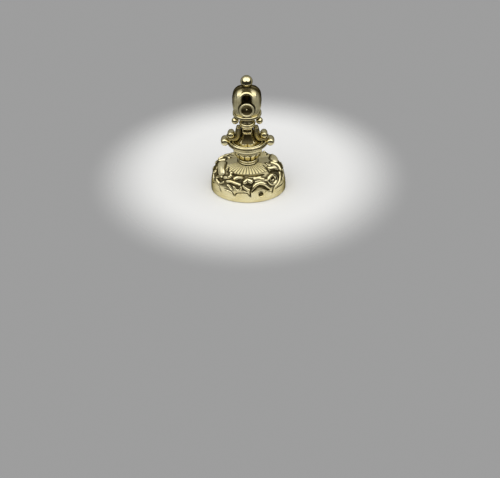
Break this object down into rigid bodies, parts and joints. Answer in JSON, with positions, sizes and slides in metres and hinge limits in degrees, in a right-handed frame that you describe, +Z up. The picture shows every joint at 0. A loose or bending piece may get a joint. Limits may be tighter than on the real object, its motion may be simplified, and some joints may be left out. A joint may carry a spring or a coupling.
{
  "type": "wax seal stamp",
  "caption": "Gilt fob seal for sealing wax: an oval engraved stone in a domed case, a fluted knop and dish, a scrolled stem and an arched bow with a ball finial and a hanging eye",
  "frame": {"origin": "on the resting plane under the middle of the oval foot", "axes": "+Z up the seal's own axis, +X along the oval's long axis, the front face of the bow towards -Y"},
  "size_m": [0.022, 0.0176, 0.0362],
  "materials": {
    "gilt": "pale gilt, polished, with darker tarnish in the hollows",
    "post_brass": "plain turned brass, unpolished",
    "carnelian": "polished translucent red-brown hardstone, matt in the engraving",
    "shellac": "dark setting shellac"
  },
  "bodies": {
    "root": {"seal_stone": "carnelian", "stone_bed": "shellac", "setting_rim": "gilt", "base_case": "gilt", "core_post": "post_brass", "neck_ring": "gilt", "fluted_cup": "gilt", "dish": "gilt", "dish_roll_left": "gilt", "dish_roll_right": "gilt", "stem": "gilt", "stem_leaf_front": "gilt", "stem_leaf_rear": "gilt", "scroll_left": "gilt", "scroll_right": "gilt", "stem_collar": "gilt", "bow_neck": "gilt", "neck_bead_left": "gilt", "neck_bead_right": "gilt", "bow_collar": "gilt", "bow_front": "gilt", "bow_rear": "gilt", "boss_front": "gilt", "boss_rear": "gilt", "ball_seat": "gilt", "top_ball": "gilt"}
  },
  "joints": []
}
